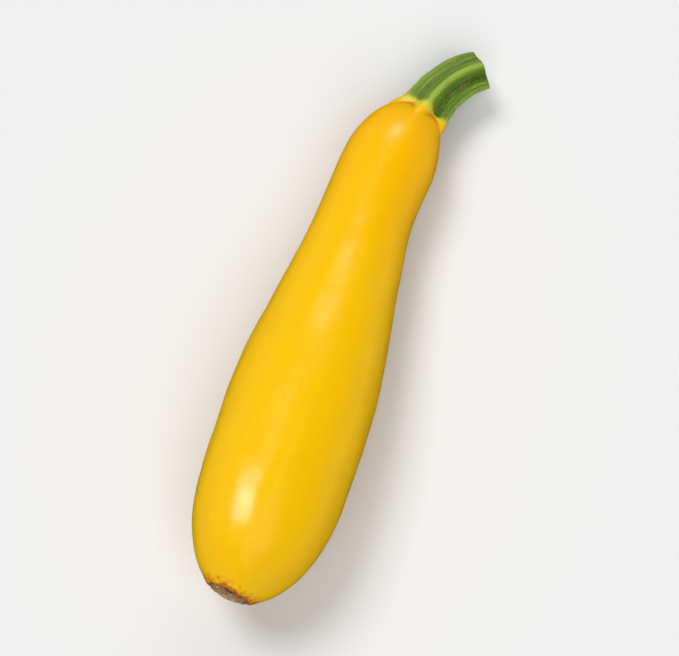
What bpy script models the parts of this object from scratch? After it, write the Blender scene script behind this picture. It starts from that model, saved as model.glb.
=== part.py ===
"""A yellow summer squash, as picked, lying on its side. Metres, +Z up.

The fruit and its stem are shaped round one spine. A place on the spine is its distance from the
top of the fruit, under the stem, so places on the stem are negative and the blossom end is at
FRUIT_LENGTH. The stem end points along +X, and the origin is on the ground, in the middle of the
flat spot that the fruit lies on.
"""

import math

import bmesh
import bpy
from mathutils import Matrix, Vector

# Outline of the fruit
FRUIT_LENGTH = 0.198
NECK_RADIUS = 0.0172
BELLY_RADIUS = 0.0266
SWELL_START = 0.0415
SWELL_END = 0.1255
SHOULDER_LENGTH = 0.027
SHOULDER_POWER = 1.8
BLOSSOM_CAP_LENGTH = 0.061
BLOSSOM_CAP_POWER = 3.0
BLOSSOM_CAP_ROOT = 1.8

# Lobes run the whole length, in line with the stem's ridges. Their height is a share of the radius.
LOBES = 5
LOBE_SHARE = 0.010
TOP_LOBE_SHARE = 0.030
TOP_LOBE_FADE = 0.016

# A grown thing's slow unevenness: each wave's count round the fruit, its twist in radians for each
# metre of length, and where it starts
UNEVEN_SHARE = 0.005
UNEVEN_WAVES = ((2, 40, 0), (3, -55, 1))

# Bends of the spine, which all lie in one level plane
TOP_BEND = math.radians(15)
TOP_BEND_START = 0.0525
TOP_SHIFT = 0.0016
TOP_SHIFT_START = 0.010
BLOSSOM_BEND = math.radians(8)
BLOSSOM_BEND_START = 0.144
STEM_BEND_RADIUS = 0.037

# The stem: its shaft thickens towards the fruit, and then spreads on to it
STEM_LENGTH = 0.0255
END_RIDGE_RADIUS = 0.0081
END_GROOVE_RADIUS = 0.0064
TOP_RIDGE_RADIUS = 0.0095
TOP_GROOVE_RADIUS = 0.0072
RIDGE_SHARPNESS = 1.25
RIDGE_FOOT = 0.0066
GROOVE_FOOT = 0.0036
SPREAD_LENGTH = 0.0036
KNIFE_SLANT = math.radians(7)
KNIFE_MARGIN = 0.004

# The blossom scar, a disc with a low rim, sunk a little into its hollow
SCAR_RADIUS = 0.0074
SCAR_DROP = 0.0005
SCAR_RIM = 0.0003
SCAR_RIM_POWER = 8
SCAR_DISH = 0.0003
HOLLOW_RADIUS = 0.0088
HOLLOW_FLAT_RADIUS = 0.0060
HOLLOW_DEPTH = 0.0017

# How it lies
REST_PLACE = 0.112
NECK_DROP = math.radians(5.2)
FLAT_SPOT_DEPTH = 0.0006

GAP = 0.0003
FRUIT_SEGMENTS = 60
FRUIT_RINGS = 64
STEM_SEGMENTS = 40
STEM_WALL_RINGS = 21
STEM_UNDERSIDE_RINGS = 5
SCAR_SEGMENTS = 32
SCAR_RINGS = 12
GROUND_BLOCK = 0.250
KNIFE_SNAP = 0.00005
SLOPE_STEP = 1e-6
SHARP_ANGLE = math.radians(40)

YELLOW = (0.93, 0.50, 0.006)
GREEN = (0.13, 0.25, 0.022)
BROWN = (0.27, 0.14, 0.055)

UP = Vector((0, 0, 1))
LOBE_START = math.radians(90)


def smooth(x):
    """Rises from 0 to 1 as x does, level at both ends."""
    x = min(max(x, 0.0), 1.0)
    return x * x * (3 - 2 * x)


def spine(place):
    """The spine's centre at a place, and the level direction across it."""
    top_across = TOP_BEND * TOP_BEND_START / 2
    if place < 0:
        turn = TOP_BEND - place / STEM_BEND_RADIUS
        along = STEM_BEND_RADIUS * (math.sin(TOP_BEND) - math.sin(turn))
        across = top_across + STEM_BEND_RADIUS * (math.cos(TOP_BEND) - math.cos(turn))
    elif place < TOP_BEND_START:
        share = 1 - place / TOP_BEND_START
        turn = TOP_BEND * share
        along = place
        across = top_across * share**2
    else:
        bent_length = FRUIT_LENGTH - BLOSSOM_BEND_START
        share = max(0.0, place - BLOSSOM_BEND_START) / bent_length
        turn = BLOSSOM_BEND * share**2
        along = place
        across = -BLOSSOM_BEND * bent_length / 3 * share**3
    across += TOP_SHIFT * smooth(1 - place / TOP_SHIFT_START)
    centre = Vector((REST_PLACE - along, -across, 0))
    return centre, Vector((math.sin(turn), math.cos(turn), 0))


def round_point(place, angle, radius):
    """A point at an angle round the spine, counted from its level side upwards."""
    centre, side = spine(place)
    return centre + radius * (math.cos(angle) * side + math.sin(angle) * UP)


def mean_radius(place):
    """The fruit's mean radius: a neck that swells to the belly, with a round cap at each end."""
    swell = smooth((place - SWELL_START) / (SWELL_END - SWELL_START))
    body = NECK_RADIUS + (BELLY_RADIUS - NECK_RADIUS) * swell
    shoulder = max(0.0, 1 - place / SHOULDER_LENGTH)
    blossom = max(0.0, 1 - (FRUIT_LENGTH - place) / BLOSSOM_CAP_LENGTH)
    top_cap = math.sqrt(1 - shoulder**SHOULDER_POWER)
    return body * top_cap * (1 - blossom**BLOSSOM_CAP_POWER) ** (1 / BLOSSOM_CAP_ROOT)


def skin_radius(place, angle):
    """The mean radius with the lobes, highest under the stem, and the unevenness."""
    lobe_share = LOBE_SHARE + TOP_LOBE_SHARE * math.exp(-place / TOP_LOBE_FADE)
    lobes = lobe_share * math.cos(LOBES * (angle - LOBE_START))
    uneven = sum(math.sin(count * angle + twist * place + start) for count, twist, start in UNEVEN_WAVES)
    return mean_radius(place) * (1 + lobes + UNEVEN_SHARE * uneven)


def hollow_depth(distance):
    """How deep the blossom end is pressed in, at a distance from its middle."""
    wall = (distance - HOLLOW_FLAT_RADIUS) / (HOLLOW_RADIUS - HOLLOW_FLAT_RADIUS)
    return HOLLOW_DEPTH * (1 - smooth(wall))


def fruit_point(place, angle):
    """A point of the fruit's skin."""
    radius = skin_radius(place, angle)
    if place > FRUIT_LENGTH / 2:
        place -= hollow_depth(radius)
    return round_point(place, angle, radius)


def ridge_share(angle):
    """1 on the crests of the stem's ridges, and 0 in the grooves between them."""
    return ((1 + math.cos(LOBES * (angle - LOBE_START))) / 2) ** RIDGE_SHARPNESS


def foot_place(ridge):
    """Where the stem's wall ends on the fruit: further down it on a ridge, where ridge is 1."""
    return GROOVE_FOOT + (RIDGE_FOOT - GROOVE_FOOT) * ridge


def shaft_radius(place, ridge):
    """The stem without its spread foot."""
    thick = 1 + place / STEM_LENGTH
    high = END_RIDGE_RADIUS + (TOP_RIDGE_RADIUS - END_RIDGE_RADIUS) * thick
    low = END_GROOVE_RADIUS + (TOP_GROOVE_RADIUS - END_GROOVE_RADIUS) * thick
    return low + (high - low) * ridge


def stem_wall_point(share, angle):
    """A point of the stem's wall. The share runs from 0, past the knife cut, to 1, on the fruit."""
    ridge = ridge_share(angle)
    foot = foot_place(ridge)
    end = -STEM_LENGTH - KNIFE_MARGIN
    place = end + (foot - end) * share
    spread = skin_radius(foot, angle) - shaft_radius(foot, ridge)
    radius = shaft_radius(place, ridge) + spread * math.exp((place - foot) / SPREAD_LENGTH)
    return round_point(place, angle, radius)


def stem_underside_point(share, angle):
    """A point just clear of the fruit's top. The share runs from 0, at the foot, to 1, in the middle."""
    place = foot_place(ridge_share(angle)) * (1 - share) ** 2
    slope = (mean_radius(place + SLOPE_STEP) - mean_radius(place)) / SLOPE_STEP
    steep = math.hypot(1, slope)
    radius = skin_radius(place, angle) + GAP / steep * (1 - share)
    return round_point(place - GAP * slope / steep, angle, radius)


def scar_point(turn, angle):
    """A point of the disc. Its face is where turn is over a right angle, and its back is the rest."""
    share = math.sin(turn)
    distance = SCAR_RADIUS * share
    cap = (1 - (distance / BELLY_RADIUS) ** BLOSSOM_CAP_ROOT) ** (1 / BLOSSOM_CAP_POWER)
    dome = FRUIT_LENGTH - BLOSSOM_CAP_LENGTH * (1 - cap)
    if turn > math.pi / 2:
        rim = SCAR_RIM * (1 - share**SCAR_RIM_POWER)
        rise = rim - SCAR_DROP - SCAR_DISH * (1 - share**2) ** 2
    else:
        rise = GAP - hollow_depth(distance)
    return round_point(dome + rise, angle, distance)


def add_object(name, bm, collection, parent=None, material=None):
    """Makes a smooth-shaded object of the mesh, in its parent's frame."""
    mesh = bpy.data.meshes.new(name)
    bm.to_mesh(mesh)
    bm.free()
    mesh.shade_smooth()
    mesh.set_sharp_from_angle(angle=SHARP_ANGLE)
    if material:
        mesh.materials.append(material)
    made = bpy.data.objects.new(name, mesh)
    made.parent = parent
    collection.objects.link(made)
    return made


def add_material(name, colour, roughness):
    material = bpy.data.materials.new(name)
    material.use_nodes = True
    shader = material.node_tree.nodes["Principled BSDF"]
    shader.inputs["Base Color"].default_value = (*colour, 1)
    shader.inputs["Roughness"].default_value = roughness
    shader.inputs["Metallic"].default_value = 0
    material.diffuse_color = (*colour, 1)
    return material


def ball(segments, rings):
    """A ball, and for each of its points the turn down from its top and the angle round its axis."""
    bm = bmesh.new()
    bmesh.ops.create_uvsphere(bm, u_segments=segments, v_segments=rings, radius=1)
    spots = []
    for vert in bm.verts:
        turn = math.acos(min(max(vert.co.z, -1.0), 1.0))
        spots.append((vert, turn, math.atan2(vert.co.y, vert.co.x)))
    return bm, spots


def fruit_mesh():
    """The fruit, whose rings crowd at its two ends."""
    bm, spots = ball(FRUIT_SEGMENTS, FRUIT_RINGS)
    for vert, turn, angle in spots:
        vert.co = fruit_point(FRUIT_LENGTH * (1 - math.cos(turn)) / 2, angle)
    return bm


def cut_with_knife(bm):
    """Cuts the stem straight across, at the knife's slant."""
    centre, side = spine(-STEM_LENGTH)
    out = Matrix.Rotation(KNIFE_SLANT, 3, UP) @ side.cross(UP)
    bmesh.ops.bisect_plane(
        bm,
        geom=[*bm.verts, *bm.edges, *bm.faces],
        dist=KNIFE_SNAP,
        plane_co=centre,
        plane_no=out,
        clear_outer=True,
    )
    bmesh.ops.holes_fill(bm, edges=[edge for edge in bm.edges if edge.is_boundary])
    bmesh.ops.recalc_face_normals(bm, faces=bm.faces)


def stem_mesh():
    """The ridged stem, with its underside just clear of the fruit."""
    rings = STEM_WALL_RINGS + STEM_UNDERSIDE_RINGS
    bm, spots = ball(STEM_SEGMENTS, rings)
    for vert, turn, angle in spots:
        ring = round(rings * turn / math.pi)
        if ring < STEM_WALL_RINGS:
            vert.co = stem_wall_point(ring / STEM_WALL_RINGS, angle)
        else:
            vert.co = stem_underside_point((ring - STEM_WALL_RINGS) / STEM_UNDERSIDE_RINGS, angle)
    cut_with_knife(bm)
    return bm


def scar_mesh():
    """The corky disc."""
    bm, spots = ball(SCAR_SEGMENTS, SCAR_RINGS)
    for vert, turn, angle in spots:
        vert.co = scar_point(turn, angle)
    return bm


def add_ground_cutter(collection):
    """A block whose top is the ground."""
    bm = bmesh.new()
    bmesh.ops.create_cube(bm, size=GROUND_BLOCK)
    ground = add_object("ground", bm, collection)
    ground.location.z = -GROUND_BLOCK / 2
    ground.hide_render = True
    ground.display_type = "WIRE"
    return ground


def press_flat(fruit, ground):
    """Cuts the flat spot where the fruit would sink into the ground."""
    flat_spot = fruit.modifiers.new("flat spot", "BOOLEAN")
    flat_spot.operation = "DIFFERENCE"
    flat_spot.object = ground


def add_pose(collection):
    """An empty that holds the squash as it lies, with its neck a little lower than its belly."""
    pose = bpy.data.objects.new("lying_squash", None)
    radius = mean_radius(REST_PLACE)
    pose.location.x = radius * math.sin(NECK_DROP)
    pose.location.z = radius * math.cos(NECK_DROP) - FLAT_SPOT_DEPTH
    pose.rotation_euler.y = NECK_DROP
    collection.objects.link(pose)
    return pose


def build():
    for old in list(bpy.data.objects):
        bpy.data.objects.remove(old)
    squash = bpy.data.collections.new("yellow_squash")
    cutters = bpy.data.collections.new("cutters")
    for collection in (squash, cutters):
        bpy.context.scene.collection.children.link(collection)

    pose = add_pose(squash)
    yellow_skin = add_material("yellow_skin", YELLOW, roughness=0.35)
    green_stem = add_material("green_stem", GREEN, roughness=0.6)
    brown_cork = add_material("brown_cork", BROWN, roughness=0.85)
    fruit = add_object("fruit", fruit_mesh(), squash, pose, yellow_skin)
    press_flat(fruit, add_ground_cutter(cutters))
    add_object("stem", stem_mesh(), squash, pose, green_stem)
    add_object("blossom_scar", scar_mesh(), squash, pose, brown_cork)


build()
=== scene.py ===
"""The looks of a yellow summer squash, as picked and laid on a pale floor.

Every surface is a grid of points round the squash's spine. A place on the spine is its distance in
metres from the top of the fruit, so places on the stem are negative. Angles are counted round the
spine, from its level side upwards.
"""

import math

import bpy
import numpy as np
from mathutils import Matrix, Vector


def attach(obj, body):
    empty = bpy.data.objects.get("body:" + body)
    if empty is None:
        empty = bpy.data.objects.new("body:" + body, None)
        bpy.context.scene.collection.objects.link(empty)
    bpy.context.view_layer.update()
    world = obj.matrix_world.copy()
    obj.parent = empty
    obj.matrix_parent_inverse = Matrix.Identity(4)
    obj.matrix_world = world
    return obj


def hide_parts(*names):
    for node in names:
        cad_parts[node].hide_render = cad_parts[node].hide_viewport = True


TURN = 2 * math.pi

# The shapes of the solids, which the finer surfaces keep
FRUIT_LENGTH = 0.198
NECK_RADIUS = 0.0172
BELLY_RADIUS = 0.0266
SWELL_START = 0.0415
SWELL_END = 0.1255
SHOULDER_LENGTH = 0.027
SHOULDER_POWER = 1.8
BLOSSOM_CAP_LENGTH = 0.061
BLOSSOM_CAP_POWER = 3.0
BLOSSOM_CAP_ROOT = 1.8
LOBES = 5
LOBE_START = TURN / 4
LOBE_SHARE = 0.010
TOP_LOBE_SHARE = 0.030
TOP_LOBE_FADE = 0.016
UNEVEN_SHARE = 0.005
UNEVEN_WAVES = ((2, 40, 0), (3, -55, 1))
TOP_BEND = math.radians(15)
TOP_BEND_START = 0.0525
TOP_SHIFT = 0.0016
TOP_SHIFT_START = 0.010
BLOSSOM_BEND = math.radians(8)
BLOSSOM_BEND_START = 0.144
STEM_BEND_RADIUS = 0.037
STEM_LENGTH = 0.0255
END_RIDGE_RADIUS = 0.0081
END_GROOVE_RADIUS = 0.0064
TOP_RIDGE_RADIUS = 0.0095
TOP_GROOVE_RADIUS = 0.0072
RIDGE_SHARPNESS = 1.25
RIDGE_FOOT = 0.0066
GROOVE_FOOT = 0.0036
SPREAD_LENGTH = 0.0036
KNIFE_SLANT = math.radians(7)
SCAR_RADIUS = 0.0074
SCAR_DROP = 0.0005
SCAR_RIM = 0.0003
SCAR_DISH = 0.0003
HOLLOW_RADIUS = 0.0088
HOLLOW_FLAT_RADIUS = 0.0060
HOLLOW_DEPTH = 0.0017
REST_PLACE = 0.112
NECK_DROP = math.radians(5.2)
FLAT_SPOT_DEPTH = 0.0006

# Relief. Dents are pairs of a height and the size of their lumps. A wander is how far, in radians,
# ribs or folds stray from an even spacing.
SKIN_DENTS = ((0.00010, 0.014), (0.00003, 0.0045))
STEM_DENTS = ((0.00012, 0.005), (0.00005, 0.0016))
RIBS = 35
RIB_HEIGHT = 0.00007
RIB_WANDER = 1.5
PRESS_SOFTNESS = 0.0003
CREASE_SOFTNESS = 0.0003
TOE_HEIGHT = 0.0007
TOE_LENGTH = 0.0026
TOE_BACK = 0.0014
PUCKERS = 13
PUCKER_HEIGHT = 0.00012
PUCKER_WANDER = 2
LIP_RADIUS = 0.0092
LIP_WIDTH = 0.0011
LIP_HEIGHT = 0.00025

# Fruit and stem share one outside. Each goes on for a skirt's length under the other.
SKIN_SEGMENTS = 288
SKIN_RINGS = 300
STEM_RINGS = 130
SKIRT_RINGS = 6
SKIRT_LENGTH = 0.0015
SKIRT_DEPTH = 0.0003
FOLLOW_LENGTH = 0.012
OUTLINE_STEPS = 4000

# Where the colour of the stem ends, and the painted shade beside its feet
GREEN_REACH = 0.0004
GROOVE_GREEN_LENGTH = 0.0012
# The lit side, on which the grooves stay yellow further up from the feet, as painted light
LIT_GROOVE_GREEN_LENGTH = 0.0052
LIT_SIDE = math.radians(10)
RIDGE_GREEN_LENGTH = 0.0095
CREASE_SHADE_OFFSET = 0.0004
CREASE_SHADE_WIDTH = 0.0009
CREASE_SHADE_POWER = 1.5

# The cut across the stem. A share is a part of the way from its middle to its edge.
CUT_SEGMENTS = 180
CUT_RINGS = 60
CUT_BACK_SHARES = (0.97, 0.2)
CUT_BEVEL = 0.0002
CUT_SEARCH_STEPS = 25
CUT_GRAIN_HEIGHT = 0.00006
CUT_GRAIN_SIZE = 0.0012
CUT_GRAIN_POWER = 6
CUT_LEVEL_POWER = 8
PITH_SINK = 0.0006
PITH_SHARE = 0.1
PITH_FADE = 0.75
SKIN_START_DEPTH = 2 * PITH_SINK
CUT_THICKNESS = 2.5 * PITH_SINK
BUNDLES = 10
BUNDLE_HEIGHT = 0.0002
BUNDLE_SHARES = (0.70, 0.56)
BUNDLE_WIDTH = 0.085
BUNDLE_SWEEP = 0.45
BACK_RINGS = 6

# The stem's bristles. A lean is how far along the stem a bristle goes for each step out of it.
BRISTLES = 900
BRISTLE_SEED = 8
BRISTLE_LENGTHS = (0.0003, 0.0010)
BRISTLE_LEANS = (-0.1, 0.7)
BRISTLE_RADIUS = 0.00004
BRISTLE_SIDES = 4
BRISTLE_ROOT_DEPTH = 0.00003
BRISTLE_MARGIN = 0.001
DIRECTION_STEP = 0.001

# The blossom scar. Rags and grains are lumps: their height, their size and a seed. Shares are parts
# of the way from its middle to its edge.
SCAR_SEGMENTS = 180
SCAR_RINGS = 70
SCAR_BACK_SHARES = (0.3, 0.97)
SCAR_THICKNESS = 0.0012
SCAR_SPREAD = 0.06
SCAR_RAGS = ((0.035, 0.5, 2), (0.02, 0.16, 4))
SCAR_EDGE_SHARE = 0.90
SCAR_EDGE_DROP = 0.0006
SCAR_RIM_SHARE = 0.82
SCAR_RIM_WIDTH = 0.10
SCAR_RIM_MEAN = 0.6
SCAR_RIM_BREAKS = (0.55, 0.35, 9)
SCAR_GRAINS = ((1, 0.0011, 3), (0.6, 0.0005, 5))
SCAR_GRAIN_HEIGHT = 0.00006
SCAR_GRAIN_POWER = 10
SCAR_RAYS = 23
SCAR_RAY_HEIGHT = 0.00005
SCAR_RAY_WANDERS = (3, 0.004, 6)
SCAR_RAY_SHARE = 0.3
SCAR_SINK = 0.7 * SCAR_DROP
NUB_HEIGHT = 0.00035
NUB_RADIUS = 0.0011
NUB_PIT_RADIUS = 0.0005
NUB_PIT_SHARE = 0.9

# The view: the blossom end is tilted towards the camera, and the neck leans to the right
VIEW_ELEVATION = math.radians(80)
VIEW_LEAN = math.radians(19)
VIEW_DISTANCE = 0.92
VIEW_CENTRE = Vector((0.0231, -0.0042, 0.0244))
LENS = 135
FLOOR_REACH = 8.0

# Lights: the direction that each shines from, its energy and its width in degrees. The first ones
# make the shading, and the gleams show in the skin's gloss alone.
SOFT_LIGHTS = (
    ("upper_light", (0.25, 0.45, 0.85), 1.72, 25),
    ("stem_light", (0.82, 0.09, 0.57), 0.70, 50),
    ("blossom_light", (-0.45, -0.20, 0.87), 1.70, 60),
)
GLEAMS = (
    ("low_blossom_gleam", (-0.09, 0.73, 0.68), 0.66, 20),
    ("high_blossom_gleam", (-0.09, 0.52, 0.855), 0.66, 20),
    ("low_shoulder_gleam", (0.768, 0.412, 0.491), 0.28, 22),
    ("high_shoulder_gleam", (0.768, 0.166, 0.619), 0.28, 22),
)

# The air: as bright as the floor up to a low height, and darker straight above
HORIZON_BRIGHTNESS = 0.872
ZENITH_BRIGHTNESS = 0.08
HORIZON_TOP = 0.14
ZENITH_START = 0.36

# Patterns in the materials. Sizes and heights are in metres. A fade says between which two values
# it goes, and from how low to how high, if that isn't from 0 to 1. A roughness is a fade of gloss.
# Pores and flecks are a spacing, a reach in spacings, and the share of places that have one.
NECK_FADE = (0.01, 0.09)
CLOUD_SIZE = 0.016
CLOUD_FADE = (0.55, 0.80, 0, 0.35)
STREAK_SIZE = 0.0035
STREAK_SCALE = (1, 1, 0.08)
STREAK_FADE = (0.52, 0.75, 0, 0.22)
PORES = (0.0028, 0.13, 0.55)
PORE_STRENGTH = 0.75
SPOTTED_END_FADE = (0.0068, 0.0026)
SPOTTED_END_GAIN = 0.3
SPOT_SIZE = 0.0019
HALO_FADE = (0.56, 0.72, 0, 0.85)
SPOT_FADE = (0.70, 0.82, 0, 0.9)
# How much paler the grooves are painted on the lit side, as painted light; and the fade of their darker
# green, which is partly painted shade
LIT_GROOVE_SHARE = 0.38
GROOVE_AND_SHADE_FADE = (0.05, 0.5)
RIDGE_FADE = (0.72, 1, 0, 0.85)
LINE_SIZE = 0.0013
LINE_FADE = (0.48, 0.70, 0, 0.5)
BLOOM_SIZE = 0.006
BLOOM_FADE = (0.5, 0.72, 0, 0.55)
FLECKS = (0.0011, 0.3, 0.35)
FLECK_STRENGTH = 0.6
FRAY_SIZE = 0.0015
FRAY_FADE = (0.2, 0.8, -0.12, 0.12)
FOOT_YELLOW_FADE = (0.02, 0.40)
GREEN_FADE = (0.38, 0.95)
WAX_SIZE = 0.006
WAX_ROUGHNESS = (0.3, 0.7, 0.20, 0.26)
RIND_SIZE = 0.0012
RIND_ROUGHNESS = (0.3, 0.7, 0.46, 0.62)
SKIN_GRAIN_SIZE = 0.0011
SKIN_GRAIN_HEIGHT = 0.00002
RIND_GRAIN_SIZE = 0.0008
RIND_GRAIN_HEIGHT = 0.00025
FLESH_FADE = (0.45, 0.85)
FIBRE_SIZE = 0.0006
FIBRE_FADE = (0.42, 0.66, 0, 0.5)
BUNDLE_STRENGTH = 0.8
CUT_EDGE_FADE = (0.90, 0.98)
FLESH_SIZE = 0.0009
FLESH_ROUGHNESS = (0.3, 0.7, 0.24, 0.42)
FLESH_GRAIN_SIZE = 0.0004
FLESH_GRAIN_HEIGHT = 0.00012
BRISTLE_SHADE_SIZE = 0.002
BRISTLE_FADE = (0.35, 0.65)
BRISTLE_ROUGHNESS = 0.45
BRISTLE_GRAIN_HEIGHT = 0.00001
CORK_FADE = (0.35, 0.85)
RUST_SIZE = 0.0013
RUST_FADE = (0.52, 0.62, 0, 0.85)
PALE_CORK_SIZE = 0.0019
PALE_CORK_FADE = (0.55, 0.66, 0, 0.7)
# How dark the scar gets, by how low its relief is
LOW_RISE_FADE = (-0.4, -1.6, 0, 0.85)
BURNT_SIZE = 0.0030
BURNT_FADE = (0.42, 0.58)
CORK_EDGE_FADE = (0.76, 0.95, 0, 0.9)
CORK_ROUGHNESS = (0, 1, 0.85, 0.65)
CORK_GRAIN_SIZE = 0.0004
CORK_GRAIN_HEIGHT = 0.0002
FLOOR_TONE_SIZE = 0.4
FLOOR_ROUGHNESS = 0.7
FLOOR_GRAIN_SIZE = 0.002
FLOOR_GRAIN_HEIGHT = 0.00002

# Colours
YELLOW = (0.86, 0.49, 0.0)
NECK_YELLOW = (0.88, 0.45, 0.0)
DEEP_YELLOW = (0.84, 0.39, 0.0)
PALE_YELLOW = (0.92, 0.58, 0.01)
# Painted shade, dark orange, for the fold beside the stem's feet
CREASE_SHADE_ORANGE = (0.50, 0.17, 0.0)
SPOT_ORANGE = (0.74, 0.26, 0.0)
SPOT_BROWN = (0.40, 0.135, 0.008)
FOOT_YELLOW = (0.62, 0.56, 0.025)
STEM_GREEN = (0.095, 0.19, 0.010)
RIDGE_GREEN = (0.29, 0.41, 0.045)
# The grooves' own darker green, with painted shade in it
GROOVE_GREEN_AND_SHADE = (0.040, 0.100, 0.002)
STEM_BROWN = (0.19, 0.17, 0.035)
PITH_PALE = (0.66, 0.68, 0.40)
FLESH_GREEN = (0.47, 0.58, 0.20)
FIBRE_PALE = (0.74, 0.74, 0.52)
BUNDLE_GREEN = (0.24, 0.33, 0.07)
CUT_EDGE_GREEN = (0.12, 0.22, 0.02)
BRISTLE_GREEN = (0.38, 0.47, 0.18)
BRISTLE_PALE = (0.56, 0.62, 0.36)
CORK_TAN = (0.50, 0.30, 0.19)
CORK_BROWN = (0.30, 0.15, 0.065)
CORK_RUST = (0.42, 0.17, 0.02)
CORK_PALE = (0.66, 0.48, 0.34)
# Almost black, for where the scar's relief is lowest
CORK_LOW_DARK = (0.055, 0.022, 0.010)
CORK_EDGE_RUST = (0.36, 0.155, 0.025)
CORK_EDGE_DARK = (0.075, 0.03, 0.012)
FLOOR_GREY = (0.72, 0.72, 0.72)
FLOOR_PALE = (0.74, 0.74, 0.74)

# Soft noise: how many waves it adds up, and the shortest and longest of them for its size
NOISE_WAVES = 40
NOISE_PITCHES = (1.2, 2.6)


def smooth(x):
    """Rises from 0 to 1 as x does, level at both ends."""
    x = np.clip(x, 0.0, 1.0)
    return x * x * (3 - 2 * x)


def bump_at(x, width):
    """A round bump, 1 where x is 0 and nothing past a few widths."""
    return np.exp(-((x / width) ** 2))


def wobble(points, size, seed=1):
    """Soft noise of about 1 either way, whose lumps are about the given size."""
    random = np.random.default_rng(seed)
    directions = random.normal(size=(NOISE_WAVES, 3))
    directions /= np.linalg.norm(directions, axis=1)[:, None]
    pitches = size * random.uniform(*NOISE_PITCHES, NOISE_WAVES)
    phases = random.uniform(0, TURN, NOISE_WAVES)
    total = np.zeros(points.shape[:-1])
    for direction, pitch, phase in zip(directions, pitches, phases):
        total += np.sin(points @ direction * TURN / pitch + phase)
    return total / math.sqrt(NOISE_WAVES / 2)


def lumps(points, height, size, seed=1):
    """Soft noise of about the given height."""
    return height * wobble(points, size, seed)


def spine(place):
    """The spine's centre at each place, and the level direction across it."""
    stem_turn = TOP_BEND - place / STEM_BEND_RADIUS
    stem_along = STEM_BEND_RADIUS * (math.sin(TOP_BEND) - np.sin(stem_turn))
    stem_across = STEM_BEND_RADIUS * (math.cos(TOP_BEND) - np.cos(stem_turn))
    top = np.clip(1 - place / TOP_BEND_START, 0, 1)
    blossom_length = FRUIT_LENGTH - BLOSSOM_BEND_START
    blossom = np.clip((place - BLOSSOM_BEND_START) / blossom_length, 0, None)
    on_stem = place < 0
    turn = np.where(on_stem, stem_turn, TOP_BEND * top + BLOSSOM_BEND * blossom**2)
    along = np.where(on_stem, stem_along, place)
    across = TOP_BEND * TOP_BEND_START / 2 * top**2 - BLOSSOM_BEND * blossom_length / 3 * blossom**3
    across = across + np.where(on_stem, stem_across, 0)
    across = across + TOP_SHIFT * smooth(1 - place / TOP_SHIFT_START)
    level = np.zeros_like(place)
    centre = np.stack([REST_PLACE - along, -across, level], axis=-1)
    side = np.stack([np.sin(turn), np.cos(turn), level], axis=-1)
    return centre, side


def mean_radius(place):
    """The fruit's mean radius: a neck that swells to the belly, with a round cap at each end."""
    swell = smooth((place - SWELL_START) / (SWELL_END - SWELL_START))
    body = NECK_RADIUS + (BELLY_RADIUS - NECK_RADIUS) * swell
    shoulder = np.clip(1 - place / SHOULDER_LENGTH, 0, 1)
    blossom = np.clip(1 - (FRUIT_LENGTH - place) / BLOSSOM_CAP_LENGTH, 0, 1)
    top_cap = np.sqrt(1 - shoulder**SHOULDER_POWER)
    return body * top_cap * (1 - blossom**BLOSSOM_CAP_POWER) ** (1 / BLOSSOM_CAP_ROOT)


def skin_radius(place, angle):
    """The mean radius with the lobes, highest under the stem, and the unevenness."""
    lobe_share = LOBE_SHARE + TOP_LOBE_SHARE * np.exp(-np.maximum(place, 0) / TOP_LOBE_FADE)
    lobes = lobe_share * np.cos(LOBES * (angle - LOBE_START))
    uneven = sum(np.sin(count * angle + twist * place + start) for count, twist, start in UNEVEN_WAVES)
    return mean_radius(place) * (1 + lobes + UNEVEN_SHARE * uneven)


def ridge_share(angle):
    """1 on the crests of the stem's ridges, and 0 in the grooves between them."""
    return ((1 + np.cos(LOBES * (angle - LOBE_START))) / 2) ** RIDGE_SHARPNESS


def foot_place(angle):
    """Where the stem's rind ends on the fruit, further down it on a ridge."""
    return GROOVE_FOOT + (RIDGE_FOOT - GROOVE_FOOT) * ridge_share(angle)


def shaft_radius(place, ridge):
    """The stem without its spread foot."""
    thick = 1 + place / STEM_LENGTH
    high = END_RIDGE_RADIUS + (TOP_RIDGE_RADIUS - END_RIDGE_RADIUS) * thick
    low = END_GROOVE_RADIUS + (TOP_GROOVE_RADIUS - END_GROOVE_RADIUS) * thick
    return low + (high - low) * ridge


def stem_radius(place, angle):
    """The stem with its foot, which spreads on to the fruit and ends there."""
    ridge = ridge_share(angle)
    foot = foot_place(angle)
    spread = skin_radius(foot, angle) - shaft_radius(foot, ridge)
    before = np.minimum(place - foot, 0)
    beyond = np.maximum(place - foot, 0)
    return shaft_radius(place, ridge) + spread * np.exp(before / SPREAD_LENGTH) - beyond


def hollow_depth(distance):
    """How deep the blossom end is pressed in, at a distance from its middle."""
    wall = (distance - HOLLOW_FLAT_RADIUS) / (HOLLOW_RADIUS - HOLLOW_FLAT_RADIUS)
    return HOLLOW_DEPTH * (1 - smooth(wall))


def toe_height(place, angle):
    """The swollen end of each ridge, which stands a little proud of the fruit's shoulder."""
    from_toe = place - foot_place(angle) + TOE_BACK
    return TOE_HEIGHT * ridge_share(angle) ** 2 * bump_at(from_toe, TOE_LENGTH)


def lit_side_share(angle):
    """1 on the stem's lit side, whose grooves are painted paler as painted light, and 0 on the other.
    """
    return (1 + np.cos(angle - LIT_SIDE)) / 2


def greenness(place, angle):
    """0 on the fruit and 1 on the stem. It changes along the stem's feet, faster in its grooves."""
    # Painted light: the grooves on the lit side stay yellow further up from the feet
    longer = LIT_GROOVE_GREEN_LENGTH - GROOVE_GREEN_LENGTH
    groove = GROOVE_GREEN_LENGTH + longer * lit_side_share(angle) ** 2
    length = groove + (RIDGE_GREEN_LENGTH - groove) * ridge_share(angle)
    return smooth((foot_place(angle) + GREEN_REACH - place) / length)


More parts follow.
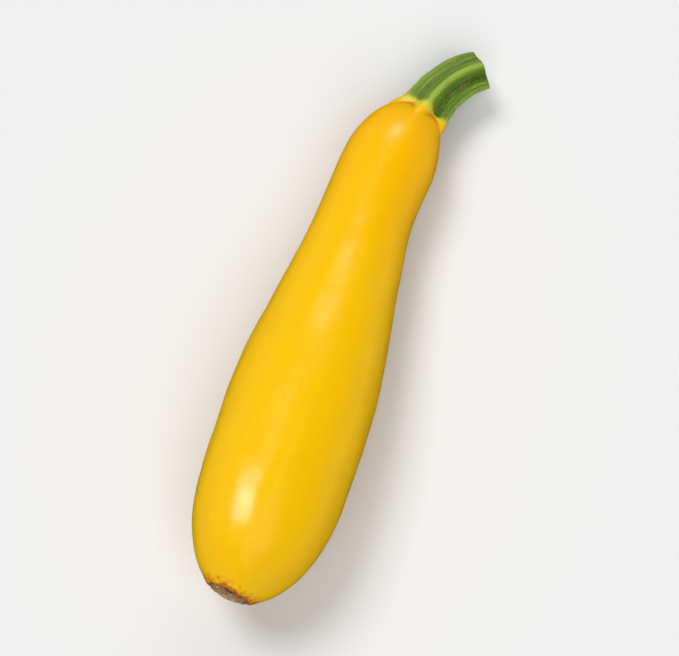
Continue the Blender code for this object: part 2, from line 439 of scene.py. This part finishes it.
def round_points(place, angle, radius):
    """Points at an angle round the spine of the squash as it lies, its neck a little lower."""
    place, angle, radius = np.broadcast_arrays(place, angle, radius)
    centre, side = spine(place)
    points = centre + (radius * np.cos(angle))[..., None] * side
    points[..., 2] += radius * np.sin(angle)
    rest_radius = float(mean_radius(np.array(REST_PLACE)))
    lift = rest_radius * math.cos(NECK_DROP) - FLAT_SPOT_DEPTH
    turned = points @ np.array(Matrix.Rotation(NECK_DROP, 3, "Y")).T
    return turned + (rest_radius * math.sin(NECK_DROP), 0, lift)


def press_on_floor(points):
    """Flattens what would sink below the floor, with a soft edge to the flat spot."""
    height = points[..., 2]
    points[..., 2] = (height + np.sqrt(height**2 + PRESS_SOFTNESS**2)) / 2
    return points


def blossom_folds(angle, radius):
    """The puckered lip of skin round the blossom scar."""
    lip = LIP_HEIGHT * bump_at(radius - LIP_RADIUS, LIP_WIDTH)
    folds = PUCKER_HEIGHT * np.cos(PUCKERS * angle + PUCKER_WANDER * np.sin(3 * angle))
    return lip + folds * bump_at(radius - LIP_RADIUS, 2 * LIP_WIDTH)


def outside_points(place, angle, inset=0.0):
    """The outside of fruit and stem as one surface, softly creased where they meet, with its relief."""
    skin = skin_radius(place, angle)
    stem = stem_radius(place, angle) + toe_height(place, angle)
    radius = (skin + stem + np.sqrt((skin - stem) ** 2 + CREASE_SOFTNESS**2)) / 2
    plain = round_points(place, angle, radius)
    green = greenness(place, angle)
    dents = sum(lumps(plain, *dent) for dent in SKIN_DENTS)
    stem_dents = sum(lumps(plain, *dent) for dent in STEM_DENTS)
    ribs = RIB_HEIGHT * np.cos(RIBS * angle + RIB_WANDER * np.sin(2 * angle))
    round_end = smooth((FRUIT_LENGTH - place) / SCAR_RADIUS)
    radius = radius + dents * (1 - green) * round_end + (stem_dents + ribs) * green - inset
    push = hollow_depth(radius) - blossom_folds(angle, radius)
    push = np.where(place > FRUIT_LENGTH / 2, push, 0)
    return press_on_floor(round_points(place - push, angle, radius))


def angles(segments):
    """The angles of a ring's points."""
    return np.arange(segments) * TURN / segments


def even_places(start, end, count):
    """Places that spread rings evenly along the fruit's outline."""
    turn = np.linspace(0, math.pi, OUTLINE_STEPS)
    place = start + (end - start) * (1 - np.cos(turn)) / 2
    steps = np.hypot(np.diff(place), np.diff(mean_radius(place)))
    length = np.concatenate([[0], np.cumsum(steps)])
    return np.interp(np.linspace(0, length[-1], count + 1), length, place)[:-1]


def closed_mesh(name, start, rings, end, values):
    """A closed body of rings of points between a start and an end point, with values at them."""
    ring_count, segments = rings.shape[:2]
    points = np.concatenate([[start], rings.reshape(-1, 3), [end]])
    first = 1 + np.arange(ring_count)[:, None] * segments + np.arange(segments)
    after = np.roll(first, -1, axis=1)
    quads = np.stack([first[:-1], first[1:], after[1:], after[:-1]], axis=-1).reshape(-1, 4)
    last = np.full(segments, len(points) - 1)
    start_fan = np.stack([np.zeros(segments, int), first[0], after[0]], axis=-1)
    end_fan = np.stack([last, after[-1], first[-1]], axis=-1)
    mesh = bpy.data.meshes.new(name)
    mesh.from_pydata(points, [], [*start_fan.tolist(), *quads.tolist(), *end_fan.tolist()])
    mesh.shade_smooth()
    for kind, value in values.items():
        add_values(mesh, kind, value)
    made = bpy.data.objects.new(name, mesh)
    bpy.context.scene.collection.objects.link(made)
    return made


def add_values(mesh, kind, value):
    """Keeps a number or a vector at every ring point, and the nearest one at the two end points."""
    is_vector = value.ndim == 3
    flat = value.reshape(-1, 3) if is_vector else value.reshape(-1, 1)
    full = np.concatenate([flat[:1], flat, flat[-1:]]).astype(np.float32)
    layer = mesh.attributes.new(kind, "FLOAT_VECTOR" if is_vector else "FLOAT", "POINT")
    layer.data.foreach_set("vector" if is_vector else "value", full.ravel())


def outside_values(place, angle):
    """What the shared material of fruit and stem reads at every point."""
    angle = np.broadcast_to(angle, place.shape)
    ridge = ridge_share(angle)
    radius = np.full_like(place, NECK_RADIUS)
    wrap = np.stack([radius * np.cos(angle), radius * np.sin(angle), place], axis=-1)
    from_foot = place - foot_place(angle)
    return {
        "green": greenness(place, angle),
        "ridge": ridge,
        # Painted light: 1 on the stem's lit side, 0 on the other
        "pale_side": lit_side_share(angle),
        # Painted shade in the fold beside the stem's feet, strongest in its grooves
        "crease": bump_at(from_foot - CREASE_SHADE_OFFSET, CREASE_SHADE_WIDTH) * (1 - ridge) ** CREASE_SHADE_POWER,
        "place": place,
        "from_end": FRUIT_LENGTH - place,
        "wrap": wrap,
    }


def skirt(foot, direction):
    """Places and insets of the rings that go on under the neighbour, from the foot outwards."""
    share = np.arange(1, SKIRT_RINGS + 1)[:, None] / SKIRT_RINGS
    return foot + direction * SKIRT_LENGTH * share, SKIRT_DEPTH * smooth(share)


def make_fruit_skin():
    """The fruit's skin, from under the stem's feet to under the blossom scar."""
    angle = angles(SKIN_SEGMENTS)
    foot = foot_place(angle)
    under, inset = skirt(foot, -1)
    top = foot.mean()
    even = even_places(top, FRUIT_LENGTH, SKIN_RINGS)[:, None]
    follow = 1 - smooth((even - top) / FOLLOW_LENGTH)
    skin = even + (foot - top) * follow
    place = np.concatenate([under[::-1], skin])
    inset = np.concatenate([inset[::-1], np.zeros((SKIN_RINGS, 1))])
    rings = outside_points(place, angle, inset)
    ends = [round_points(np.array(end), 0.0, 0.0) for end in (foot.min(), FRUIT_LENGTH - HOLLOW_DEPTH)]
    return closed_mesh("fruit_skin", ends[0], rings, ends[1], outside_values(place, angle))


def knife_plane():
    """The middle of the knife cut, and the direction out of it."""
    at = np.array(-STEM_LENGTH)
    middle = round_points(at, 0.0, 0.0)
    side = round_points(at, 0.0, 1.0) - middle
    up = round_points(at, TURN / 4, 1.0) - middle
    straight = np.cross(side, up)
    slant = Matrix.Rotation(KNIFE_SLANT, 3, Vector(up))
    return middle, np.array(slant @ Vector(straight))


def cut_places(angle):
    """Where the stem's wall meets the knife's plane."""
    middle, out = knife_plane()
    near = np.full_like(angle, -STEM_LENGTH + END_RIDGE_RADIUS / 2)
    far = np.full_like(angle, -STEM_LENGTH - END_RIDGE_RADIUS / 2)
    for _ in range(CUT_SEARCH_STEPS):
        half = (near + far) / 2
        is_past = (outside_points(half, angle) - middle) @ out > 0
        far = np.where(is_past, half, far)
        near = np.where(is_past, near, half)
    return near


def make_stem_skin():
    """The stem's ridged rind, from the knife cut to under the fruit's skin."""
    angle = angles(SKIN_SEGMENTS)
    foot = foot_place(angle)
    under, inset = skirt(foot, 1)
    end = cut_places(angle)
    share = np.linspace(0, 1, STEM_RINGS)[:, None]
    wall = end + (foot - end) * share
    middle, out = knife_plane()
    place = np.concatenate([wall, under])
    inset = np.concatenate([np.zeros((STEM_RINGS, 1)), inset])
    inset[0] = CUT_BEVEL
    rings = outside_points(place, angle, inset)
    rings[1] -= CUT_BEVEL * out
    start = middle - SKIN_START_DEPTH * out
    finish = round_points(np.array(foot.max()), 0.0, 0.0)
    return closed_mesh("stem_skin", start, rings, finish, outside_values(place, angle))


def make_stem_cut():
    """The cut face: a thin rind, a ring of water bundles, and a pith that has sunk as it dried."""
    middle, out = knife_plane()
    angle = angles(CUT_SEGMENTS)
    rim = outside_points(cut_places(angle), angle, CUT_BEVEL)
    share = (np.arange(1, CUT_RINGS + 1) / CUT_RINGS)[:, None] * np.ones(CUT_SEGMENTS)
    face = middle + (rim - middle) * share[..., None]
    bundle_at = np.where(np.cos(LOBES * (angle - LOBE_START)) > 0, *BUNDLE_SHARES)
    around = np.abs(np.sin(BUNDLES / 2 * (angle - LOBE_START)))
    bundle = bump_at(share - bundle_at, BUNDLE_WIDTH) * bump_at(around, BUNDLE_SWEEP)
    sink = PITH_SINK * (1 - smooth((share - PITH_SHARE) / PITH_FADE)) - BUNDLE_HEIGHT * bundle
    grain = wobble(face, CUT_GRAIN_SIZE) * (1 - share**CUT_GRAIN_POWER)
    sink = sink + CUT_GRAIN_HEIGHT * grain
    front = face - (sink * (1 - share**CUT_LEVEL_POWER))[..., None] * out
    back_share = np.linspace(*CUT_BACK_SHARES, BACK_RINGS)[:, None, None]
    back = middle + (rim - middle) * back_share - CUT_THICKNESS * out
    rings = np.concatenate([front, back])
    values = {
        "share": np.concatenate([share, np.ones((BACK_RINGS, CUT_SEGMENTS))]),
        "bundle": np.concatenate([bundle, np.zeros((BACK_RINGS, CUT_SEGMENTS))]),
    }
    start = middle - PITH_SINK * out
    return closed_mesh("stem_cut", start, rings, middle - CUT_THICKNESS * out, values)


def make_bristles():
    """Fine pale bristles on the stem's rind, leaning towards its end."""
    random = np.random.default_rng(BRISTLE_SEED)
    angle = random.uniform(0, TURN, BRISTLES)
    place = random.uniform(-STEM_LENGTH + BRISTLE_MARGIN, GROOVE_FOOT, BRISTLES)
    root = outside_points(place, angle, BRISTLE_ROOT_DEPTH)
    out = outside_points(place, angle, -DIRECTION_STEP) - root
    out /= np.linalg.norm(out, axis=-1)[:, None]
    along = round_points(place - DIRECTION_STEP, angle, 0.0) - round_points(place, angle, 0.0)
    along /= np.linalg.norm(along, axis=-1)[:, None]
    lean = out + along * random.uniform(*BRISTLE_LEANS, BRISTLES)[:, None]
    length = random.uniform(*BRISTLE_LENGTHS, BRISTLES)[:, None]
    tip = root + lean * length
    across = np.cross(out, along)
    points = []
    faces = []
    for index in range(BRISTLES):
        base = len(points)
        for corner in range(BRISTLE_SIDES):
            turn = TURN * corner / BRISTLE_SIDES
            spread = math.cos(turn) * across[index] + math.sin(turn) * along[index]
            points.append(root[index] + BRISTLE_RADIUS * spread)
            faces.append((base + corner, base + (corner + 1) % BRISTLE_SIDES, base + BRISTLE_SIDES))
        points.append(tip[index])
        faces.append(tuple(range(base + BRISTLE_SIDES - 1, base - 1, -1)))
    mesh = bpy.data.meshes.new("stem_bristles")
    mesh.from_pydata(points, [], faces)
    made = bpy.data.objects.new("stem_bristles", mesh)
    bpy.context.scene.collection.objects.link(made)
    return made


def make_scar():
    """The corky disc that the flower left: a crumbled rim, a wrinkled face and a pitted nub."""
    angle = angles(SCAR_SEGMENTS)
    share = np.sin(np.linspace(0, math.pi / 2, SCAR_RINGS + 1)[1:])[:, None] * np.ones(SCAR_SEGMENTS)
    circle = np.stack([np.cos(angle), np.sin(angle), 0 * angle], axis=-1)
    ragged = sum(lumps(circle, *rags) for rags in SCAR_RAGS)
    radius = SCAR_RADIUS * share * (1 + (SCAR_SPREAD + ragged) * share**2)
    flat = np.stack([radius * np.cos(angle), radius * np.sin(angle), 0 * radius], axis=-1)
    cap = (1 - (radius / BELLY_RADIUS) ** BLOSSOM_CAP_ROOT) ** (1 / BLOSSOM_CAP_POWER)
    dome = FRUIT_LENGTH - BLOSSOM_CAP_LENGTH * (1 - cap)
    broken = SCAR_RIM_MEAN + lumps(circle, *SCAR_RIM_BREAKS)
    rim = SCAR_RIM * broken * bump_at(share - SCAR_RIM_SHARE, SCAR_RIM_WIDTH)
    grain = sum(lumps(flat, *grains) for grains in SCAR_GRAINS)
    ray_angle = SCAR_RAYS * angle + lumps(flat, *SCAR_RAY_WANDERS)
    rays = np.cos(ray_angle) * smooth(share / SCAR_RAY_SHARE)
    nub = bump_at(radius, NUB_RADIUS) - NUB_PIT_SHARE * bump_at(radius, NUB_PIT_RADIUS)
    rise = rim - SCAR_DISH * (1 - share**2) ** 2 + NUB_HEIGHT * nub
    fine = SCAR_GRAIN_HEIGHT * grain + SCAR_RAY_HEIGHT * rays
    rise = rise + fine * (1 - share**SCAR_GRAIN_POWER)
    edge = smooth((share - SCAR_EDGE_SHARE) / (1 - SCAR_EDGE_SHARE))
    rise = rise - SCAR_SINK - SCAR_EDGE_DROP * edge
    front = round_points(dome + rise, angle, radius)[::-1]
    back_share = np.linspace(*SCAR_BACK_SHARES, BACK_RINGS)[:, None]
    back_place = FRUIT_LENGTH - SCAR_THICKNESS - HOLLOW_DEPTH
    back = round_points(back_place, angle, SCAR_RADIUS * back_share)
    rings = np.concatenate([back, front])
    values = {
        "share": np.concatenate([np.ones((BACK_RINGS, SCAR_SEGMENTS)), share[::-1]]),
        "rise": np.concatenate([np.zeros((BACK_RINGS, SCAR_SEGMENTS)), (grain + rays)[::-1]]),
    }
    start = round_points(np.array(back_place), 0.0, 0.0)
    finish = round_points(np.array(FRUIT_LENGTH - SCAR_DROP), 0.0, 0.0)
    return closed_mesh("blossom_scar_cork", start, rings, finish, values)


class Graph:
    """A material's nodes, added one by one. A value may be a number, a colour or a node's output."""

    def __init__(self, name):
        self.material = bpy.data.materials.new(name)
        self.material.use_nodes = True
        self.tree = self.material.node_tree
        self.shader = self.tree.nodes["Principled BSDF"]

    def add(self, kind, inputs, **settings):
        """A new node with its inputs and its settings."""
        node = self.tree.nodes.new(kind)
        for name, value in settings.items():
            setattr(node, name, value)
        for name, value in inputs.items():
            self.feed(node.inputs[name], value)
        return node

    def feed(self, socket, value):
        """Links a node's output to a socket, or sets the socket to a number or a colour."""
        if isinstance(value, bpy.types.NodeSocket):
            self.tree.links.new(value, socket)
        elif isinstance(value, tuple) and len(value) < len(socket.default_value):
            socket.default_value = (*value, 1)
        else:
            socket.default_value = value

    def value(self, name):
        """A number kept on the mesh."""
        return self.add("ShaderNodeAttribute", {}, attribute_name=name).outputs["Fac"]

    def vector(self, name, scale=(1, 1, 1)):
        """A vector kept on the mesh, scaled. A small scale draws a pattern out into streaks."""
        source = self.add("ShaderNodeAttribute", {}, attribute_name=name).outputs["Vector"]
        mapping = self.add("ShaderNodeMapping", {"Vector": source, "Scale": scale})
        return mapping.outputs["Vector"]

    def noise(self, vector, size, detail=3.0):
        """Noise from 0 to 1, whose lumps have about this size in metres."""
        inputs = {"Vector": vector, "Scale": 1 / size, "Detail": detail}
        return self.add("ShaderNodeTexNoise", inputs).outputs["Fac"]

    def position(self):
        """The place in the object's own space."""
        return self.add("ShaderNodeTexCoord", {}).outputs["Object"]

    def ramp(self, value, start, end, low=0.0, high=1.0):
        """Goes smoothly from low to high as the value goes from start to end."""
        inputs = {"Value": value, "From Min": start, "From Max": end, "To Min": low, "To Max": high}
        node = self.add("ShaderNodeMapRange", inputs, interpolation_type="SMOOTHSTEP")
        return node.outputs["Result"]

    def math(self, operation, first, second):
        """The result of one operation on two values."""
        return self.add("ShaderNodeMath", {0: first, 1: second}, operation=operation).outputs["Value"]

    def mix(self, first, second, share):
        """A colour between two others."""
        node = self.add("ShaderNodeMix", {0: share, 6: first, 7: second}, data_type="RGBA")
        return node.outputs[2]

    def specks(self, vector, size, reach, share):
        """Round specks in a share of the cells, 1 in their middles. A reach is a part of a cell."""
        cells = self.add("ShaderNodeTexVoronoi", {"Vector": vector, "Scale": 1 / size})
        number = self.add("ShaderNodeSeparateColor", {"Color": cells.outputs["Color"]})
        is_speck = self.math("LESS_THAN", number.outputs["Red"], share)
        speck = self.ramp(cells.outputs["Distance"], reach, reach / 3)
        return self.math("MULTIPLY", speck, is_speck)

    def bump(self, height, distance, normal=None):
        """A normal that follows a height from 0 to 1, which stands for this distance in metres."""
        inputs = {"Height": height, "Distance": distance}
        if normal:
            inputs["Normal"] = normal
        return self.add("ShaderNodeBump", inputs).outputs["Normal"]

    def finish(self, colour, roughness, normal, **constants):
        """Feeds the shader. Constants are named for its sockets, with _ for a space."""
        self.feed(self.shader.inputs["Base Color"], colour)
        self.feed(self.shader.inputs["Roughness"], roughness)
        self.feed(self.shader.inputs["Normal"], normal)
        for name, value in constants.items():
            self.shader.inputs[name.replace("_", " ")].default_value = value
        return self.material


def yellow_colour(graph, wrap, streaks):
    """The fruit: more orange at the neck, clouded, streaked, with pale pores, a spotted end and painted
    shade beside the stem's feet.
    """
    place = graph.value("place")
    colour = graph.mix(NECK_YELLOW, YELLOW, graph.ramp(place, *NECK_FADE))
    clouds = graph.ramp(graph.noise(wrap, CLOUD_SIZE), *CLOUD_FADE)
    colour = graph.mix(colour, DEEP_YELLOW, clouds)
    pale = graph.ramp(graph.noise(streaks, STREAK_SIZE), *STREAK_FADE)
    colour = graph.mix(colour, PALE_YELLOW, pale)
    pores = graph.specks(wrap, *PORES)
    colour = graph.mix(colour, PALE_YELLOW, graph.math("MULTIPLY", pores, PORE_STRENGTH))
    end = graph.ramp(graph.value("from_end"), *SPOTTED_END_FADE)
    patches = graph.noise(graph.position(), SPOT_SIZE)
    patches = graph.math("ADD", patches, graph.math("MULTIPLY", end, SPOTTED_END_GAIN))
    halos = graph.ramp(patches, *HALO_FADE)
    colour = graph.mix(colour, SPOT_ORANGE, graph.math("MULTIPLY", end, halos))
    spots = graph.ramp(patches, *SPOT_FADE)
    colour = graph.mix(colour, SPOT_BROWN, graph.math("MULTIPLY", end, spots))
    # Painted shade, dark orange, in the fold beside the stem's feet
    return graph.mix(colour, CREASE_SHADE_ORANGE, graph.value("crease"))


def green_colour(graph, wrap, streaks):
    """The stem: pale ridges, grooves darkened partly by painted shade and painted paler on its lit
    side, pale lines and flecks along it, and a brownish bloom.
    """
    ridge = graph.value("ridge")
    # Grooves darker, partly as painted shade, and painted paler towards the lit side
    paler = graph.math("MULTIPLY", graph.value("pale_side"), LIT_GROOVE_SHARE)
    groove = graph.ramp(graph.math("ADD", ridge, paler), *GROOVE_AND_SHADE_FADE)
    colour = graph.mix(GROOVE_GREEN_AND_SHADE, STEM_GREEN, groove)
    colour = graph.mix(colour, RIDGE_GREEN, graph.ramp(ridge, *RIDGE_FADE))
    lines = graph.ramp(graph.noise(streaks, LINE_SIZE), *LINE_FADE)
    colour = graph.mix(colour, RIDGE_GREEN, lines)
    bloom = graph.ramp(graph.noise(wrap, BLOOM_SIZE), *BLOOM_FADE)
    colour = graph.mix(colour, STEM_BROWN, bloom)
    flecks = graph.specks(wrap, *FLECKS)
    return graph.mix(colour, RIDGE_GREEN, graph.math("MULTIPLY", flecks, FLECK_STRENGTH))


def rind_material(name):
    """Skin and rind in one, read by both fruit and stem, so that they match where they meet."""
    graph = Graph(name)
    wrap = graph.vector("wrap")
    streaks = graph.vector("wrap", STREAK_SCALE)
    green = graph.value("green")
    fray = graph.ramp(graph.noise(wrap, FRAY_SIZE), *FRAY_FADE)
    uneven = graph.math("ADD", green, fray)
    colour = yellow_colour(graph, wrap, streaks)
    colour = graph.mix(colour, FOOT_YELLOW, graph.ramp(uneven, *FOOT_YELLOW_FADE))
    rind_colour = green_colour(graph, wrap, streaks)
    colour = graph.mix(colour, rind_colour, graph.ramp(uneven, *GREEN_FADE))
    waxy = graph.ramp(graph.noise(wrap, WAX_SIZE), *WAX_ROUGHNESS)
    dull = graph.ramp(graph.noise(wrap, RIND_SIZE), *RIND_ROUGHNESS)
    duller = graph.math("MULTIPLY", green, graph.math("SUBTRACT", dull, waxy))
    roughness = graph.math("ADD", waxy, duller)
    skin_grain = graph.noise(wrap, SKIN_GRAIN_SIZE, detail=2.0)
    rind_grain = graph.noise(streaks, RIND_GRAIN_SIZE, detail=4.0)
    fine = graph.bump(skin_grain, SKIN_GRAIN_HEIGHT)
    normal = graph.bump(graph.math("MULTIPLY", rind_grain, green), RIND_GRAIN_HEIGHT, fine)
    return graph.finish(
        colour,
        roughness,
        normal,
        Subsurface_Weight=0.08,
        Subsurface_Radius=(1.0, 0.45, 0.05),
        Subsurface_Scale=0.003,
    )


def cut_material():
    """Moist pale flesh, with darker water bundles and a green edge."""
    graph = Graph("cut_flesh")
    position = graph.position()
    share = graph.value("share")
    colour = graph.mix(PITH_PALE, FLESH_GREEN, graph.ramp(share, *FLESH_FADE))
    fibres = graph.ramp(graph.noise(position, FIBRE_SIZE), *FIBRE_FADE)
    colour = graph.mix(colour, FIBRE_PALE, fibres)
    bundle = graph.math("MULTIPLY", graph.value("bundle"), BUNDLE_STRENGTH)
    colour = graph.mix(colour, BUNDLE_GREEN, bundle)
    colour = graph.mix(colour, CUT_EDGE_GREEN, graph.ramp(share, *CUT_EDGE_FADE))
    roughness = graph.ramp(graph.noise(position, FLESH_SIZE), *FLESH_ROUGHNESS)
    grain = graph.noise(position, FLESH_GRAIN_SIZE, detail=4.0)
    normal = graph.bump(grain, FLESH_GRAIN_HEIGHT)
    return graph.finish(
        colour,
        roughness,
        normal,
        Subsurface_Weight=0.2,
        Subsurface_Radius=(1.0, 0.9, 0.4),
        Subsurface_Scale=0.001,
    )


def bristle_material():
    """Pale green hairs, some paler."""
    graph = Graph("pale_bristle")
    shade = graph.noise(graph.position(), BRISTLE_SHADE_SIZE)
    colour = graph.mix(BRISTLE_GREEN, BRISTLE_PALE, graph.ramp(shade, *BRISTLE_FADE))
    normal = graph.bump(shade, BRISTLE_GRAIN_HEIGHT)
    return graph.finish(colour, BRISTLE_ROUGHNESS, normal)


def cork_material():
    """Dry cork: dark and crumbled at the rim, pinkish tan inside, with rusty spots, and almost black
    where its relief is lowest.
    """
    graph = Graph("scar_cork")
    position = graph.position()
    share = graph.value("share")
    rise = graph.value("rise")
    colour = graph.mix(CORK_TAN, CORK_BROWN, graph.ramp(share, *CORK_FADE))
    spots = graph.ramp(graph.noise(position, RUST_SIZE), *RUST_FADE)
    colour = graph.mix(colour, CORK_RUST, spots)
    pale = graph.ramp(graph.noise(position, PALE_CORK_SIZE, detail=5.0), *PALE_CORK_FADE)
    colour = graph.mix(colour, CORK_PALE, pale)
    # Almost black where the relief of grains and rays is lowest
    colour = graph.mix(colour, CORK_LOW_DARK, graph.ramp(rise, *LOW_RISE_FADE))
    burnt = graph.ramp(graph.noise(position, BURNT_SIZE), *BURNT_FADE)
    edge = graph.mix(CORK_EDGE_RUST, CORK_EDGE_DARK, burnt)
    colour = graph.mix(colour, edge, graph.ramp(share, *CORK_EDGE_FADE))
    roughness = graph.ramp(spots, *CORK_ROUGHNESS)
    grain = graph.noise(position, CORK_GRAIN_SIZE, detail=5.0)
    return graph.finish(colour, roughness, graph.bump(grain, CORK_GRAIN_HEIGHT))


def floor_material():
    """A dull floor without gloss, so that it is as bright from every side."""
    graph = Graph("pale_floor")
    position = graph.position()
    colour = graph.mix(FLOOR_GREY, FLOOR_PALE, graph.noise(position, FLOOR_TONE_SIZE))
    normal = graph.bump(graph.noise(position, FLOOR_GRAIN_SIZE), FLOOR_GRAIN_HEIGHT)
    return graph.finish(colour, FLOOR_ROUGHNESS, normal, Specular_IOR_Level=0.0)


def dress(piece, material, slot, *nodes):
    """Gives a piece its material, its body and the solids that it stands for. Its slot is not used."""
    piece.data.materials.append(material)
    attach(piece, "root")
    if nodes:
        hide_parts(*nodes)


def make_squash():
    """All the pieces of the squash."""
    dress(make_fruit_skin(), rind_material("waxy_skin"), "yellow_skin", "fruit")
    dress(make_stem_skin(), rind_material("ridged_rind"), "green_stem", "stem")
    dress(make_stem_cut(), cut_material(), "green_stem")
    dress(make_bristles(), bristle_material(), "green_stem")
    dress(make_scar(), cork_material(), "brown_cork", "blossom_scar")


def make_floor():
    """The floor, which doesn't show in the squash's gloss."""
    mesh = bpy.data.meshes.new("floor")
    signs = ((-1, -1), (1, -1), (1, 1), (-1, 1))
    points = [(FLOOR_REACH * x, FLOOR_REACH * y, 0) for x, y in signs]
    mesh.from_pydata(points, [], [(0, 1, 2, 3)])
    mesh.materials.append(floor_material())
    floor = bpy.data.objects.new("floor", mesh)
    bpy.context.scene.collection.objects.link(floor)
    floor.visible_glossy = False


def view_axes():
    """The picture's right and up, and the direction back to the camera."""
    back = Vector((-math.cos(VIEW_ELEVATION), 0, math.sin(VIEW_ELEVATION)))
    level_up = Vector((math.sin(VIEW_ELEVATION), 0, math.cos(VIEW_ELEVATION)))
    roll = Matrix.Rotation(VIEW_LEAN, 3, back)
    up = roll @ level_up
    return up.cross(back), up, back


def make_camera():
    """The camera, which looks against back."""
    right, up, back = view_axes()
    data = bpy.data.cameras.new("camera")
    data.lens = LENS
    camera = bpy.data.objects.new("camera", data)
    camera.location = VIEW_CENTRE + back * VIEW_DISTANCE
    camera.rotation_euler = Matrix((right, up, back)).transposed().to_euler()
    bpy.context.scene.collection.objects.link(camera)
    bpy.context.scene.camera = camera


def make_light(name, direction, energy, width, is_gleam):
    """A light that shines from a direction, as wide as the given angle, on shading or on gloss."""
    data = bpy.data.lights.new(name, "SUN")
    data.energy = energy
    data.angle = width
    light = bpy.data.objects.new(name, data)
    light.rotation_euler = Vector(direction).to_track_quat("Z", "Y").to_euler()
    light.visible_diffuse = not is_gleam
    light.visible_glossy = is_gleam
    bpy.context.scene.collection.objects.link(light)


def make_lights():
    """All the lights. Their widths are given in degrees."""
    for lights, is_gleam in ((SOFT_LIGHTS, False), (GLEAMS, True)):
        for name, direction, energy, width in lights:
            make_light(name, direction, energy, math.radians(width), is_gleam)


def make_air():
    """The air round the floor, brighter at the horizon. It doesn't show in the squash's gloss."""
    world = bpy.data.worlds.new("studio")
    bpy.context.scene.world = world
    world.use_nodes = True
    nodes = world.node_tree.nodes
    links = world.node_tree.links
    direction = nodes.new("ShaderNodeTexCoord").outputs["Generated"]
    split = nodes.new("ShaderNodeSeparateXYZ")
    fade = nodes.new("ShaderNodeMapRange")
    fade.interpolation_type = "SMOOTHSTEP"
    values = (HORIZON_TOP, ZENITH_START, HORIZON_BRIGHTNESS, ZENITH_BRIGHTNESS)
    for name, value in zip(("From Min", "From Max", "To Min", "To Max"), values):
        fade.inputs[name].default_value = value
    links.new(direction, split.inputs["Vector"])
    links.new(split.outputs["Z"], fade.inputs["Value"])
    links.new(fade.outputs["Result"], nodes["Background"].inputs["Strength"])
    nodes["Background"].inputs["Color"].default_value = (1, 1, 1, 1)
    world.cycles_visibility.glossy = False
    bpy.context.scene.view_settings.view_transform = "Standard"


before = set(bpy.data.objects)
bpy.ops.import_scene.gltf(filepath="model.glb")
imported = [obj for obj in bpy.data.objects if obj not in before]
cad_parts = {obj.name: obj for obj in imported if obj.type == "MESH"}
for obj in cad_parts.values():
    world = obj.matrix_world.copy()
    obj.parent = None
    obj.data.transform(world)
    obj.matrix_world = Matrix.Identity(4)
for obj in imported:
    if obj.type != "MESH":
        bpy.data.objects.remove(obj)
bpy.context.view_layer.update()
make_squash()
make_floor()
make_camera()
make_lights()
make_air()
